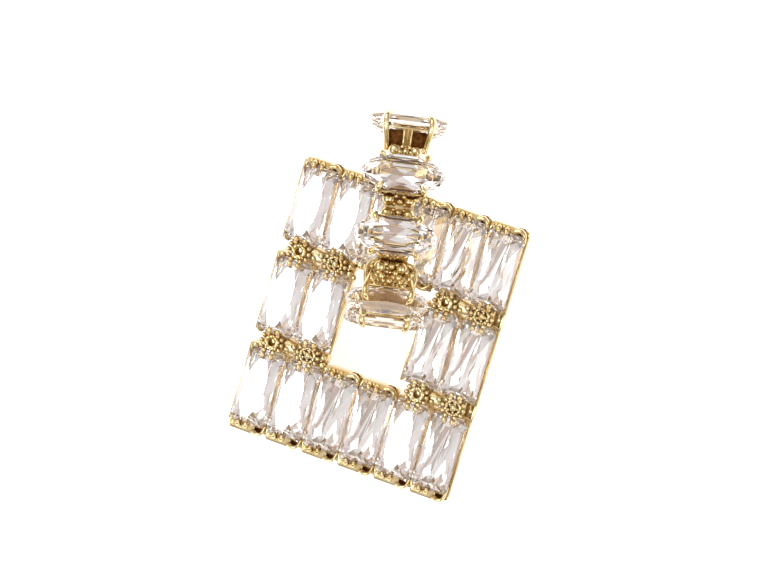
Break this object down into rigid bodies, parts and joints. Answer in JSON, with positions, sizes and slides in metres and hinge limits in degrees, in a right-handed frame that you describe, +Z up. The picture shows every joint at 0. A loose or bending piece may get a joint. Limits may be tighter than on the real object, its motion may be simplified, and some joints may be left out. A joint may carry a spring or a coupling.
{
  "type": "crystal drop stud earring",
  "caption": "Stud earring, lying down: a half hoop of claw-set marquise crystals on an ear post, threaded through a square drop of baguette crystals.",
  "frame": {"origin": "on the table the earring lies on, under the middle of its bounding box", "axes": "+Z up from the table; +Y from the drop's lower edge towards the ear post; +X along the drop's rows, to the right seen from above"},
  "size_m": [0.0184, 0.0272, 0.0178],
  "materials": {
    "gold_metal": "polished pale gold plating",
    "baguette_crystal": "polished facets, clear",
    "marquise_crystal": "polished facets, clear"
  },
  "bodies": {
    "root": {"hoop_setting": "gold_metal", "drop_setting": "gold_metal", "marquise_1": "marquise_crystal", "marquise_2": "marquise_crystal", "marquise_3": "marquise_crystal", "marquise_4": "marquise_crystal", "marquise_5": "marquise_crystal", "baguette_1_1": "baguette_crystal", "baguette_2_1": "baguette_crystal", "baguette_3_1": "baguette_crystal", "baguette_4_1": "baguette_crystal", "baguette_5_1": "baguette_crystal", "baguette_6_1": "baguette_crystal", "baguette_1_2": "baguette_crystal", "baguette_2_2": "baguette_crystal", "baguette_5_2": "baguette_crystal", "baguette_6_2": "baguette_crystal", "baguette_1_3": "baguette_crystal", "baguette_2_3": "baguette_crystal", "baguette_3_3": "baguette_crystal", "baguette_4_3": "baguette_crystal", "baguette_5_3": "baguette_crystal", "baguette_6_3": "baguette_crystal"}
  },
  "joints": []
}
